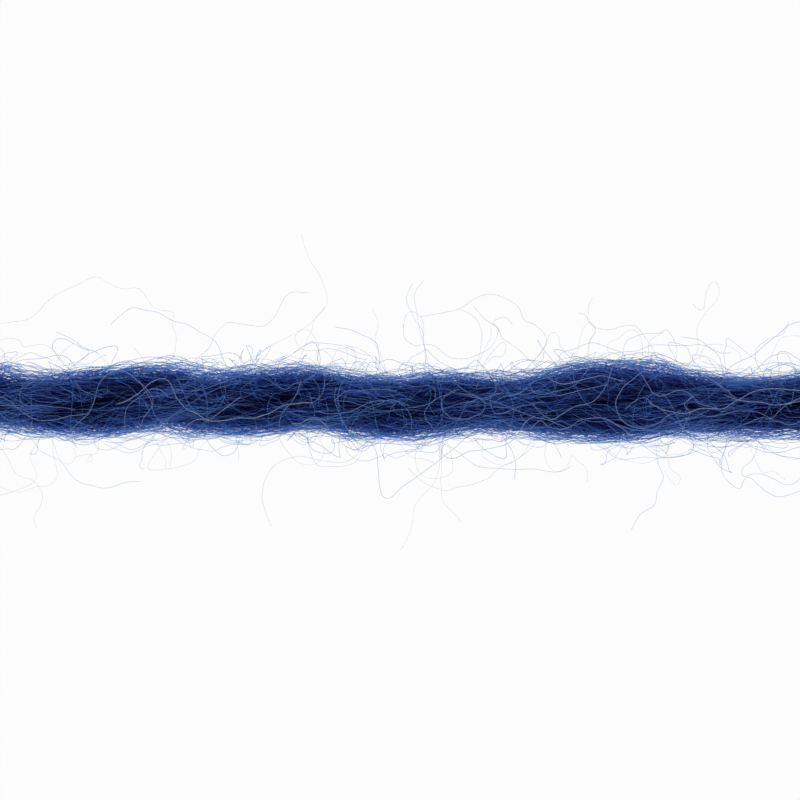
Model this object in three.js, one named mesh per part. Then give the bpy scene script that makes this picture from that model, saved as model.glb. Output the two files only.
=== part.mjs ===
// A cut length of three-ply woollen knitting yarn, laid straight on a flat surface.
// Millimetres, +Z up. The yarn runs along X and rests on z = 0, and the origin lies on
// that surface, under the middle of the cut length.
import * as THREE from "three";
import { mergeVertices } from "three/addons/utils/BufferGeometryUtils.js";

// Driving sizes.
const CUT_LENGTH = 40;
const FLATTENED = 0.09; // how far the resting yarn gives way underneath
const PLY_GAP = 0.3; // between the pressed sides of two singles

// The three singles, spun from one navy wool that took up the dye a little unevenly.
const SINGLES = [
  { name: "single_a", shade: 0x20356b },
  { name: "single_b", shade: 0x24407d },
  { name: "single_c", shade: 0x1c2f60 },
];

// The plied yarn along its length. x is the place, width is over the backs of the
// singles, side is how far the yarn's axis lies towards +Y, and turn is how far the
// singles have wound round each other, in whole turns. The thick place takes less twist.
const STATIONS = [
  { x: -20.0, width: 2.62, side: -0.05, turn: -0.42 },
  { x: -16.0, width: 2.64, side: 0.01, turn: -0.216 },
  { x: -11.8, width: 2.7, side: -0.07, turn: 0 },
  { x: -8.4, width: 2.8, side: 0.02, turn: 0.178 },
  { x: -5.4, width: 2.66, side: -0.07, turn: 0.333 },
  { x: -2.2, width: 2.68, side: -0.11, turn: 0.508 },
  { x: 0.8, width: 2.54, side: -0.27, turn: 0.667 },
  { x: 4.6, width: 2.58, side: -0.15, turn: 0.846 },
  { x: 7.0, width: 3.16, side: 0, turn: 0.947 },
  { x: 9.6, width: 3.24, side: -0.13, turn: 1.055 },
  { x: 11.6, width: 2.8, side: -0.17, turn: 1.134 },
  { x: 13.8, width: 2.54, side: -0.17, turn: 1.222 },
  { x: 16.6, width: 2.56, side: -0.15, turn: 1.333 },
  { x: 20.0, width: 2.6, side: -0.13, turn: 1.467 },
];

// The cross-section of a single: a rounded sector of the yarn. Two of its places are
// shares of the yarn's half width, measured outwards from the yarn's axis.
const BACK_CENTRE = 0.34; // the centre of its round back
const SECTOR_MIDDLE = 0.56; // the point inside it that it is drawn round
const EDGE_SHARPNESS = 9; // higher gives a sharper edge between back and pressed side

// How finely a single is drawn.
const SIDES = 20;
const STEPS = 72;

const FULL_TURN = 2 * Math.PI;
const HALF_SECTOR = FULL_TURN / SINGLES.length / 2;
// At turn 0 a valley between two singles lies straight up from the yarn's axis.
const STRAIGHT_UP = FULL_TURN / 4;

// The value of one column at a place, on a smooth curve through the stations.
function along(x, column) {
  const last = STATIONS.length - 1;
  const next = STATIONS.findIndex((station) => station.x >= x);
  const i = THREE.MathUtils.clamp(next - 1, 0, last - 1);
  const [from, to] = [STATIONS[i], STATIONS[i + 1]];
  const span = to.x - from.x;
  const slopeAt = (k) => {
    const before = STATIONS[Math.max(k - 1, 0)];
    const after = STATIONS[Math.min(k + 1, last)];
    return (after[column] - before[column]) / (after.x - before.x);
  };
  const curve = new THREE.CubicBezierCurve(
    new THREE.Vector2(from.x, from[column]),
    new THREE.Vector2(from.x + span / 3, from[column] + (slopeAt(i) * span) / 3),
    new THREE.Vector2(to.x - span / 3, to[column] - (slopeAt(i + 1) * span) / 3),
    new THREE.Vector2(to.x, to[column]),
  );
  return curve.getPoint((x - from.x) / span).y;
}

// How far a single's skin lies from its sector's middle. The direction is measured from
// the single's own outward one, and the skin is the round back or a pressed side,
// whichever is nearer, with a rounded edge between them.
function reach(direction, half) {
  const offset = (SECTOR_MIDDLE - BACK_CENTRE) * half;
  const backRadius = (1 - BACK_CENTRE) * half;
  const toBack =
    Math.sqrt(backRadius ** 2 - (offset * Math.sin(direction)) ** 2) -
    offset * Math.cos(direction);
  const room = SECTOR_MIDDLE * half * Math.sin(HALF_SECTOR) - PLY_GAP / 2;
  const towardsSide = Math.sin(Math.abs(direction) - HALF_SECTOR);
  if (towardsSide <= 0) return toBack;
  const toSide = room / towardsSide;
  const blend = toBack ** -EDGE_SHARPNESS + toSide ** -EDGE_SHARPNESS;
  return blend ** (-1 / EDGE_SHARPNESS);
}

// One single. A closed bar of rings is bent into place: each ring gets the section's
// outline, turned about the yarn's axis, and what would sink below z = 0 lies flat on it.
// The turn runs from straight up towards +Y as the yarn runs towards +X: S-plied.
function single({ name, shade }, index) {
  const bar = new THREE.CylinderGeometry(1, 1, CUT_LENGTH, SIDES, STEPS);
  bar.deleteAttribute("normal");
  bar.deleteAttribute("uv");
  const geometry = mergeVertices(bar);
  const points = geometry.getAttribute("position");
  for (let i = 0; i < points.count; i++) {
    const x = points.getY(i);
    const ringShare = Math.hypot(points.getZ(i), points.getX(i));
    const direction = Math.atan2(points.getX(i), points.getZ(i));
    const half = along(x, "width") / 2;
    const windings = along(x, "turn") - (index + 0.5) / SINGLES.length;
    const outward = STRAIGHT_UP - FULL_TURN * windings;
    const middle = SECTOR_MIDDLE * half;
    const skin = ringShare * reach(direction, half);
    const fromAxisY = middle * Math.cos(outward) + skin * Math.cos(outward + direction);
    const fromAxisZ = middle * Math.sin(outward) + skin * Math.sin(outward + direction);
    const y = along(x, "side") + fromAxisY;
    const z = half - FLATTENED + fromAxisZ;
    points.setXYZ(i, x, y, Math.max(z, 0));
  }
  geometry.computeVertexNormals();
  const wool = new THREE.MeshStandardMaterial({
    color: shade,
    roughness: 0.95,
    metalness: 0,
  });
  const mesh = new THREE.Mesh(geometry, wool);
  mesh.name = name;
  return mesh;
}

const yarn = new THREE.Group();
yarn.add(...SINGLES.map(single));

export default yarn;
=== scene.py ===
"""A cut length of three-ply woollen knitting yarn, laid straight on a pale table.

Sizes inside the classes are millimetres, as a spinner would give them, and become
metres when a mesh is made. The yarn runs along X, rests on z = 0 and is seen from
straight above.
"""

import sys
import logging
import math
from abc import ABC, abstractmethod
from dataclasses import dataclass
from enum import Enum
from typing import NamedTuple

import bmesh
import bpy
import numpy as np
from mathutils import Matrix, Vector


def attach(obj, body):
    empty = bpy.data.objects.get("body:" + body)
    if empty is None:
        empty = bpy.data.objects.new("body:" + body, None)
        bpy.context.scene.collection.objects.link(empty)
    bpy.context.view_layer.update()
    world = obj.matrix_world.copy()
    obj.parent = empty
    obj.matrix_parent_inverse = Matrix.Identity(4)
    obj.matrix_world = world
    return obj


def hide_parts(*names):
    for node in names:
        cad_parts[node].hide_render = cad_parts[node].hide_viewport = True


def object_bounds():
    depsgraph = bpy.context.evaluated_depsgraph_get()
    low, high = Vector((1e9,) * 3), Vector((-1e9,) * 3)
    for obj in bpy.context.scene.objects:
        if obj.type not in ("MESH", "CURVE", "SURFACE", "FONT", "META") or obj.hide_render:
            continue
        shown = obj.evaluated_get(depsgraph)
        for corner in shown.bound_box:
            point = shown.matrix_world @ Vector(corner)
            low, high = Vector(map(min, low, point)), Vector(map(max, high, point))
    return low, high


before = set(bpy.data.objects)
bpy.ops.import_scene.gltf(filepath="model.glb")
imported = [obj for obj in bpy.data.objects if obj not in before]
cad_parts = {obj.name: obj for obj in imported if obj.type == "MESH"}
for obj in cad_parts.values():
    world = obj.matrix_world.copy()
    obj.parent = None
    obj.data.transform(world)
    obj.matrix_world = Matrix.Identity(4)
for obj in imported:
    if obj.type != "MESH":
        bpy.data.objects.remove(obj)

Array = np.ndarray
MM = 0.001
FULL_TURN = 2.0 * math.pi
ROOT = "root"
SHADE = "shade"
HAIR_MAP = "OFBake"
SHORTEST_VECTOR = 1e-12

# A valley between two singles begins at this angle from the middle of a single's back,
# and is deepest at the next.
VALLEY_BEGINS = 0.6
VALLEY_FLOOR = 1.0

# How much a hair's own waves differ from the waves that its kind has.
OWN_WAVE_HEIGHT = (0.4, 1.6)
OWN_WAVE_LENGTH = (0.7, 1.4)

CAD_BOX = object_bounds()
log = logging.getLogger("yarn")


def linear(code: str) -> tuple[float, float, float, float]:
    """Turns an sRGB hex colour linear.

    Args:
        code: The colour, such as "1f3a73".

    Returns:
        The linear RGBA colour.
    """
    parts = [int(code[i : i + 2], 16) / 255.0 for i in (0, 2, 4)]
    curved = [c / 12.92 if c <= 0.04045 else ((c + 0.055) / 1.055) ** 2.4 for c in parts]
    return (*curved, 1.0)


def add_node(
    tree: bpy.types.NodeTree, kind: str, inputs: dict | None = None, **settings: object
) -> bpy.types.Node:
    """Adds a node with its settings and links.

    Args:
        tree: The node tree that gets the node.
        kind: The node's type name.
        inputs: Socket name or number to a constant, or to an output socket to link.
        **settings: Properties of the node.

    Returns:
        The new node.
    """
    node = tree.nodes.new(kind)
    for name, value in settings.items():
        setattr(node, name, value)
    for name, value in (inputs or {}).items():
        if isinstance(value, bpy.types.NodeSocket):
            tree.links.new(value, node.inputs[name])
        else:
            node.inputs[name].default_value = value
    return node


def new_material(name: str) -> tuple[bpy.types.Material, bpy.types.NodeTree]:
    """Makes an empty node material.

    Args:
        name: The material's name.

    Returns:
        The material and its node tree.
    """
    material = bpy.data.materials.new(name)
    material.use_nodes = True
    material.node_tree.nodes.clear()
    return material, material.node_tree


def unit(vectors: Array) -> Array:
    """Scales vectors to length 1."""
    length = np.linalg.norm(vectors, axis=-1, keepdims=True)
    return vectors / np.maximum(length, SHORTEST_VECTOR)


class Station(NamedTuple):
    """One place along the plied yarn, in millimetres and whole turns."""

    x: float
    width: float
    side: float
    turn: float


@dataclass(frozen=True)
class YarnCourse:
    """Where the yarn lies, how thick it is and how its singles wind round each other."""

    cut_length: float = 40.0
    singles: int = 3
    flattened: float = 0.09
    stations: tuple[Station, ...] = (
        Station(x=-20.0, width=2.62, side=-0.05, turn=-0.42),
        Station(x=-16.0, width=2.64, side=0.01, turn=-0.216),
        Station(x=-11.8, width=2.7, side=-0.07, turn=0.0),
        Station(x=-8.4, width=2.8, side=0.02, turn=0.178),
        Station(x=-5.4, width=2.66, side=-0.07, turn=0.333),
        Station(x=-2.2, width=2.68, side=-0.11, turn=0.508),
        Station(x=0.8, width=2.54, side=-0.27, turn=0.667),
        Station(x=4.6, width=2.58, side=-0.15, turn=0.846),
        Station(x=7.0, width=3.16, side=0.0, turn=0.947),
        Station(x=9.6, width=3.24, side=-0.13, turn=1.055),
        Station(x=11.6, width=2.8, side=-0.17, turn=1.134),
        Station(x=13.8, width=2.54, side=-0.17, turn=1.222),
        Station(x=16.6, width=2.56, side=-0.15, turn=1.333),
        Station(x=20.0, width=2.6, side=-0.13, turn=1.467),
    )

    def column(self, name: str, x: Array) -> Array:
        """One column of the stations at places x, on a smooth curve.

        Args:
            name: The column's name.
            x: Places along the yarn.

        Returns:
            The column's value at each place.
        """
        places = np.array([station.x for station in self.stations])
        values = np.array([getattr(station, name) for station in self.stations])
        before = np.maximum(np.arange(len(places)) - 1, 0)
        after = np.minimum(np.arange(len(places)) + 1, len(places) - 1)
        slopes = (values[after] - values[before]) / (places[after] - places[before])
        i = np.clip(np.searchsorted(places, x) - 1, 0, len(places) - 2)
        span = places[i + 1] - places[i]
        t = np.clip((x - places[i]) / span, 0.0, 1.0)
        start = values[i] * (1 + 2 * t) * (1 - t) ** 2 + slopes[i] * span * t * (1 - t) ** 2
        end = values[i + 1] * t**2 * (3 - 2 * t) - slopes[i + 1] * span * t**2 * (1 - t)
        return start + end

    def half(self, x: Array) -> Array:
        """Half the width over the backs of the singles."""
        return self.column("width", x) / 2

    def axis(self, x: Array) -> Array:
        """Points on the yarn's middle line."""
        return np.stack([x, self.column("side", x), self.half(x) - self.flattened], axis=-1)

    def outward(self, single: int, x: Array) -> Array:
        """The angle, from +Y towards +Z, at which a single lies from the middle line."""
        windings = self.column("turn", x) - (single + 0.5) / self.singles
        return FULL_TURN / 4 - FULL_TURN * windings


@dataclass(frozen=True)
class SectorSection:
    """The cross-section of one single: a rounded sector, in shares of the half width."""

    back_centre: float = 0.45
    middle: float = 0.56
    edge_sharpness: float = 9.0
    half_sector: float = FULL_TURN / 6
    least_angle: float = 1e-3

    def reach(self, direction: Array, half: Array, gap: float) -> Array:
        """How far the skin lies from the sector's middle.

        Args:
            direction: The angle from the single's own outward direction.
            half: The yarn's half width there.
            gap: The distance kept between two singles.

        Returns:
            The distance to the round back or the pressed side, whichever is nearer.
        """
        direction = (direction + math.pi) % FULL_TURN - math.pi
        offset = (self.middle - self.back_centre) * half
        radius = (1 - self.back_centre) * half
        to_back = np.sqrt(radius**2 - (offset * np.sin(direction)) ** 2)
        to_back = to_back - offset * np.cos(direction)
        room = self.middle * half * math.sin(self.half_sector) - gap / 2
        past_sector = np.abs(direction) - self.half_sector
        towards_side = np.sin(np.maximum(past_sector, self.least_angle))
        to_side = room / towards_side
        sharp = self.edge_sharpness
        return (to_back**-sharp + to_side**-sharp) ** (-1 / sharp)

    def skin_radius(self, from_lobe: Array, half: Array) -> Array:
        """How far the yarn's skin lies from its middle line.

        Args:
            from_lobe: The angle from the middle of the nearest single's back.
            half: The yarn's half width there.

        Returns:
            The distance.
        """
        sine = self.back_centre * np.sin(from_lobe)
        back = np.sqrt((1 - self.back_centre) ** 2 - sine**2)
        return half * (self.back_centre * np.cos(from_lobe) + back)


def in_valley(from_back: Array) -> Array:
    """How far down a valley between two singles a point lies, from 0 on a back to 1."""
    down = (np.abs(from_back) - VALLEY_BEGINS) / (VALLEY_FLOOR - VALLEY_BEGINS)
    return np.clip(down, 0.0, 1.0)


class SoftPlace(NamedTuple):
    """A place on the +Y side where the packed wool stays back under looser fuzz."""

    x: float
    reach: float
    depth: float


@dataclass(frozen=True)
class PliedYarn:
    """The yarn's form: its course, the section of its singles and its soft places.

    Wool deeper than packed_below counts as packed. The rim seen from above, which sets where the
    hairs get painted rim light and painted shade on the face, begins with a power of how far aside a
    point lies, first for the -Y side, and reaches further in on the +Y side, so the painted rim light
    reaches further in there. Past the flank, in half widths, the yarn's top counts as level.
    """

    course: YarnCourse = YarnCourse()
    section: SectorSection = SectorSection()
    soft_places: tuple[SoftPlace, ...] = (
        SoftPlace(x=-15.2, reach=1.7, depth=0.4),
        SoftPlace(x=-7.6, reach=0.9, depth=0.42),
        SoftPlace(x=3.7, reach=0.8, depth=0.18),
        SoftPlace(x=10.2, reach=1.6, depth=0.2),
    )
    packed_below: float = 0.42
    rim_begins: tuple[float, float] = (4.0, 2.5)
    flank: float = 0.98

    def on_single(
        self,
        single: int,
        x: Array,
        direction: Array,
        lift: Array | float = 0.0,
        gap: float = 0.0,
        sunk: float = 0.0,
    ) -> Array:
        """Points on or beside the skin of a single.

        Args:
            single: Which single.
            x: Places along the yarn.
            direction: Angles from the single's own outward direction.
            lift: How far outside the skin the points lie.
            gap: The distance kept between two singles.
            sunk: How much thinner the yarn is taken to be, on each side.

        Returns:
            The points.
        """
        half = self.course.half(x) - sunk
        outward = self.course.outward(single, x)
        skin = self.section.reach(direction, half, gap) + lift
        middle = self.section.middle * half
        points = self.course.axis(x)
        points[..., 1] += middle * np.cos(outward) + skin * np.cos(outward + direction)
        points[..., 2] += middle * np.sin(outward) + skin * np.sin(outward + direction)
        return self.hold_back(points, lift - sunk)

    def round_yarn(self, x: Array, angle: Array, lift: Array, bridging: float) -> Array:
        """Points round the whole yarn.

        Args:
            x: Places along the yarn.
            angle: Angles round the middle line, from +Y towards +Z.
            lift: How far outside the skin the points lie.
            bridging: 0 follows the valleys between singles, and 1 passes over them.

        Returns:
            The points.
        """
        half = self.course.half(x)
        skin = self.section.skin_radius(self.from_lobe(x, angle), half)
        radius = skin + (half - skin) * bridging + lift
        points = self.course.axis(x)
        points[..., 1] += radius * np.cos(angle)
        points[..., 2] += radius * np.sin(angle)
        return self.hold_back(points, lift)

    def aside(self, points: Array) -> Array:
        """How far points lie towards +Y from the middle line, in half widths."""
        x = points[..., 0]
        return (points[..., 1] - self.course.column("side", x)) / self.course.half(x)

    def near_rim(self, points: Array) -> Array:
        """How near points lie to the rim seen from above, from 0 to 1: the mask of the hairs' painted
        rim light.
        """
        aside = self.aside(points).clip(-1, 1)
        return np.abs(aside) ** np.where(aside < 0, *self.rim_begins)

    def hold_back(self, points: Array, lift: Array | float) -> Array:
        """Moves packed wool inwards at the soft places, and leaves the loose fuzz.

        Args:
            points: Points in or beside the yarn.
            lift: How far outside the skin they lie.

        Returns:
            The points, moved.
        """
        x = points[..., 0]
        depth = sum(p.depth * np.exp(-(((x - p.x) / p.reach) ** 2)) for p in self.soft_places)
        packed = np.clip(-lift / self.packed_below, 0.0, 1.0)
        points[..., 1] -= depth * packed * np.clip(self.aside(points), 0.0, 1.0)
        return points

    def from_lobe(self, x: Array, angle: Array) -> Array:
        """The angle from the middle of the nearest single's back."""
        sector = FULL_TURN / self.course.singles
        return (angle - self.course.outward(0, x) + sector / 2) % sector - sector / 2

    def top(self, x: Array, y: Array) -> Array:
        """How high the yarn reaches.

        Args:
            x: Places along the yarn.
            y: Places across it.

        Returns:
            The height at each place.
        """
        half = self.course.half(x)
        axis = self.course.axis(x)
        aside = np.minimum(np.abs(y - axis[..., 1]) / half, self.flank)
        return axis[..., 2] + half * np.sqrt(1 - aside**2)


class HairShade(Enum):
    """How light a hair is drawn, from deep navy to almost clear against the light: how little dye
    shows in it, with painted shade and painted light added where it lies.
    """

    DEEP = 0.1
    NAVY = 0.3
    BLUE = 0.5
    LIGHT = 0.7
    PALE = 0.85
    CLEAR = 0.97


@dataclass(frozen=True)
class DyedWool:
    """Wool hair, acid-dyed navy in the fleece and woollen-spun.

    The scales of each hair scatter light, so it is matt with a soft shine along it. Light
    also comes through it: against the light one hair is clear blue, and the fuzz at the
    yarn's edge glows, while many hairs over each other go down to navy.
    """

    name: str = "dyed_wool_hair"
    lit: tuple[str, ...] = ("0c1742", "182f70", "2a57a8", "7497cf", "a9bcd8", "c8d4e4")
    lit_through: tuple[str, ...] = ("7480b8", "929ed6", "a2bbee", "abcdff", "b2d8ff", "fafbfe")
    roughness: float = 0.4
    ior: float = 1.55
    specular: float = 0.9
    glow: float = 0.98
    streak_mm: float = 0.8
    streak_depth: float = 0.08

    def material(self) -> bpy.types.Material:
        """Makes the material. Each hair's shade comes from its attribute, which holds its dye
        together with painted shade and painted light.

        Returns:
            The material.
        """
        material, tree = new_material(self.name)
        place = add_node(tree, "ShaderNodeTexCoord")
        streak = add_node(
            tree,
            "ShaderNodeTexNoise",
            {"Vector": place.outputs["Object"], "Scale": 1 / (self.streak_mm * MM)},
        )
        shade = add_node(tree, "ShaderNodeAttribute", attribute_name=SHADE)
        uneven = add_node(
            tree,
            "ShaderNodeMath",
            {0: streak.outputs["Fac"], 1: self.streak_depth, 2: -self.streak_depth / 2},
            operation="MULTIPLY_ADD",
        )
        dye = add_node(
            tree,
            "ShaderNodeMath",
            {0: shade.outputs["Fac"], 1: uneven.outputs[0]},
            operation="ADD",
            use_clamp=True,
        )
        surface = add_node(
            tree,
            "ShaderNodeBsdfPrincipled",
            {
                "Base Color": self.by_shade(tree, dye.outputs[0], self.lit),
                "Roughness": self.roughness,
                "IOR": self.ior,
                "Specular IOR Level": self.specular,
            },
        )
        through = add_node(
            tree,
            "ShaderNodeBsdfTranslucent",
            {"Color": self.by_shade(tree, dye.outputs[0], self.lit_through)},
        )
        both = add_node(
            tree,
            "ShaderNodeMixShader",
            {0: self.glow, 1: surface.outputs[0], 2: through.outputs[0]},
        )
        add_node(tree, "ShaderNodeOutputMaterial", {"Surface": both.outputs[0]})
        return material

    def by_shade(
        self, tree: bpy.types.NodeTree, shade: bpy.types.NodeSocket, colours: tuple[str, ...]
    ) -> bpy.types.NodeSocket:
        """Turns a hair's shade into a colour.

        Args:
            tree: The material's node tree.
            shade: The shade's socket.
            colours: One sRGB hex colour for each of the named shades.

        Returns:
            The colour's socket.
        """
        ramp = add_node(tree, "ShaderNodeValToRGB", {"Fac": shade})
        stops = ramp.color_ramp.elements
        stops[0].position, stops[0].color = HairShade.DEEP.value, linear(colours[0])
        stops[1].position, stops[1].color = HairShade.CLEAR.value, linear(colours[-1])
        for step, colour in list(zip(HairShade, colours))[1:-1]:
            stops.new(step.value).color = linear(colour)
        return ramp.outputs["Color"]


FINE = DyedWool()

# Kemp: coarse, chalky hairs in the fleece that take little dye. Over the dark yarn they
# show as thin periwinkle lines.
KEMP = DyedWool(
    name="kemp_hair",
    lit=("0c1742", "182f70", "3a5cb0", "98b4ff", "bcd4ff", "dce8ff"),
    lit_through=("7682bc", "96a2da", "a8bcf8", "b6ccff", "d0e0ff", "ecf4ff"),
    glow=0.7,
)


@dataclass(frozen=True)
class PackedWool:
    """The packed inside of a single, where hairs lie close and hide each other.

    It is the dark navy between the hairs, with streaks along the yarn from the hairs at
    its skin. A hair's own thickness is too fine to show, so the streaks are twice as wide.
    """

    name: str = "packed_wool"
    dark: str = "2a3a70"
    lighter: str = "345098"
    roughness: float = 0.9
    hair_mm: float = 0.06
    lock_mm: float = 0.4
    stretch: float = 14.0
    bump_mm: float = 0.03
    wander: float = 0.4
    tones: tuple[float, float] = (0.15, 0.45)
    specular: float = 0.2

    def material(self) -> bpy.types.Material:
        """Makes the material.

        Returns:
            The material.
        """
        material, tree = new_material(self.name)
        place = add_node(tree, "ShaderNodeTexCoord")
        lie = add_node(
            tree,
            "ShaderNodeMapping",
            {"Vector": place.outputs["Object"], "Scale": (1 / self.stretch, 1.0, 1.0)},
        )
        hairs, locks = (
            add_node(
                tree,
                "ShaderNodeTexNoise",
                {
                    "Vector": lie.outputs[0],
                    "Scale": 1 / (size * MM),
                    "Distortion": self.wander,
                },
            )
            for size in (self.hair_mm, self.lock_mm)
        )
        both = add_node(
            tree,
            "ShaderNodeMath",
            {0: hairs.outputs["Fac"], 1: locks.outputs["Fac"]},
            operation="MULTIPLY",
        )
        ramp = add_node(tree, "ShaderNodeValToRGB", {"Fac": both.outputs[0]})
        stops = ramp.color_ramp.elements
        for stop, tone, colour in zip(stops, self.tones, (self.dark, self.lighter)):
            stop.position, stop.color = tone, linear(colour)
        bump = add_node(
            tree,
            "ShaderNodeBump",
            {"Height": hairs.outputs["Fac"], "Distance": self.bump_mm * MM},
        )
        surface = add_node(
            tree,
            "ShaderNodeBsdfPrincipled",
            {
                "Base Color": ramp.outputs["Color"],
                "Roughness": self.roughness,
                "Specular IOR Level": self.specular,
                "Normal": bump.outputs[0],
            },
        )
        add_node(tree, "ShaderNodeOutputMaterial", {"Surface": surface.outputs[0]})
        return material


@dataclass
class Hairs:
    """Many single hairs, each a row of points, to be made one joined mesh.

    The radius is for a hair, and the shade for a hair or for each of its points. A hair's
    middle line keeps LOWEST above the table, and its two ends are narrowed to a TIP. In the
    UV map a hair fills a share of its own cell, which is longer than it is wide.
    """

    paths: Array
    radius: Array
    shade: Array

    SIDES = 3
    LOWEST = 0.012
    TIP = 0.35
    UPRIGHT = 0.8
    CELL_FILLED = 0.9
    CELL_LENGTH = 4

    def rings(self) -> Array:
        """Draws a ring round each point, turned as little as it can be along a hair.

        Returns:
            The rings' corner points.
        """
        along = unit(np.gradient(self.paths, axis=1))
        steps = along.shape[1]
        normal = np.empty_like(along)
        lying = np.abs(along[:, 0, 2:3]) < self.UPRIGHT
        helper = np.where(lying, [[0.0, 0.0, 1.0]], [[0.0, 1.0, 0.0]])
        last = unit(np.cross(along[:, 0], helper))
        for k in range(steps):
            last = unit(last - (last * along[:, k]).sum(-1, keepdims=True) * along[:, k])
            normal[:, k] = last
        across = np.cross(along, normal)
        taper = np.ones(steps)
        taper[[0, -1]] = self.TIP
        size = (self.radius[:, None] * taper)[..., None]
        angles = np.arange(self.SIDES) * FULL_TURN / self.SIDES
        corners = [
            self.paths + size * (math.cos(a) * normal + math.sin(a) * across) for a in angles
        ]
        return np.stack(corners, axis=2)

    def build(self, name: str) -> bpy.types.Object:
        """Makes one object of closed three-sided tubes.

        Args:
            name: The object's name.

        Returns:
            The object, linked into the scene.
        """
        self.paths[..., 2] = np.maximum(self.paths[..., 2], self.LOWEST)
        rings = self.rings()
        rings[..., 2] = np.maximum(rings[..., 2], 0.0)
        count, steps, sides, _ = rings.shape
        corner = np.arange(count * steps * sides).reshape(count, steps, sides)
        after = np.roll(corner, -1, axis=2)
        walls = np.stack(
            [corner[:, :-1], after[:, :-1], after[:, 1:], corner[:, 1:]], axis=-1
        ).reshape(-1, 4)
        tips = np.concatenate([corner[:, 0, ::-1], corner[:, -1]])
        order = np.concatenate([walls.ravel(), tips.ravel()])
        starts = np.concatenate(
            [np.arange(len(walls)) * 4, walls.size + np.arange(len(tips)) * sides]
        )
        mesh = bpy.data.meshes.new(name)
        mesh.vertices.add(count * steps * sides)
        mesh.vertices.foreach_set("co", (rings * MM).astype(np.float32).ravel())
        mesh.loops.add(len(order))
        mesh.loops.foreach_set("vertex_index", order.astype(np.int32))
        mesh.polygons.add(len(starts))
        mesh.polygons.foreach_set("loop_start", starts.astype(np.int32))
        mesh.polygons.foreach_set("use_smooth", np.ones(len(starts), bool))
        shades = np.broadcast_to(self.shade.reshape(count, -1), (count, steps))
        shades = np.repeat(shades.ravel(), sides).astype(np.float32)
        mesh.attributes.new(SHADE, "FLOAT", "POINT").data.foreach_set("value", shades)
        self.add_map(mesh, count, steps)
        mesh.update(calc_edges=True)
        piece = bpy.data.objects.new(name, mesh)
        bpy.context.scene.collection.objects.link(piece)
        return piece

    def add_map(self, mesh: bpy.types.Mesh, count: int, steps: int) -> None:
        """Gives each hair its own cell of a UV map, with its length along the cell.

        Args:
            mesh: The mesh that gets the map.
            count: How many hairs it has.
            steps: How many points a hair has.
        """
        columns = max(1, round(math.sqrt(count / self.CELL_LENGTH)))
        rows = math.ceil(count / columns)
        hair = np.arange(count)
        cell = np.empty((count, steps, self.SIDES + 1, 2))
        along = self.CELL_FILLED * np.arange(steps) / (steps - 1)
        around = self.CELL_FILLED * np.arange(self.SIDES + 1) / self.SIDES
        cell[..., 0] = ((hair % columns)[:, None, None] + along[None, :, None]) / columns
        cell[..., 1] = ((hair // columns)[:, None, None] + around[None, None, :]) / rows
        walls = np.stack(
            [cell[:, :-1, :-1], cell[:, :-1, 1:], cell[:, 1:, 1:], cell[:, 1:, :-1]], axis=3
        )
        parts = (walls, cell[:, 0, [2, 1, 0]], cell[:, -1, [0, 1, 2]])
        places = np.concatenate([part.reshape(-1, 2) for part in parts])
        layer = mesh.uv_layers.new(name=HAIR_MAP)
        layer.uv.foreach_set("vector", places.astype(np.float32).ravel())


def dress(piece: bpy.types.Object, material: bpy.types.Material) -> bpy.types.Object:
    """Gives a piece its material and its body.

    Args:
        piece: The piece.
        material: Its material.

    Returns:
        The piece.
    """
    piece.data.materials.append(material)
    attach(piece, ROOT)
    return piece


class HairPiece(ABC):
    """A piece that is one joined mesh of hairs."""

    name: str

    @abstractmethod
    def lay(self) -> Hairs:
        """Lays the hairs."""

    def build(self, material: bpy.types.Material) -> bpy.types.Object:
        """Lays the hairs, makes them one mesh and dresses it.

        Args:
            material: The hairs' material.

        Returns:
            The piece's object.
        """
        return dress(self.lay().build(self.name), material)


class Waves(NamedTuple):
    """The typical heights and lengths of the waves in a hair's crimp."""

    heights: tuple[float, ...]
    lengths: tuple[float, ...]


def crimp(rng: np.random.Generator, s: Array, waves: Waves) -> Array:
    """Crimp: a sum of waves with each hair's own heights, lengths and starts.

    Args:
        rng: The piece's own random numbers.
        s: Distance along each hair, a row for each.
        waves: The waves that hairs of this kind have.

    Returns:
        The displacement at each point.
    """
    total = np.zeros_like(s)
    rows = (len(s), 1)
    for height, length in zip(waves.heights, waves.lengths):
        own_height = height * rng.uniform(*OWN_WAVE_HEIGHT, rows)
        own_length = length * rng.uniform(*OWN_WAVE_LENGTH, rows)
        total += own_height * np.sin(FULL_TURN * (s / own_length + rng.random(rows)))
    return total


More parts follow.
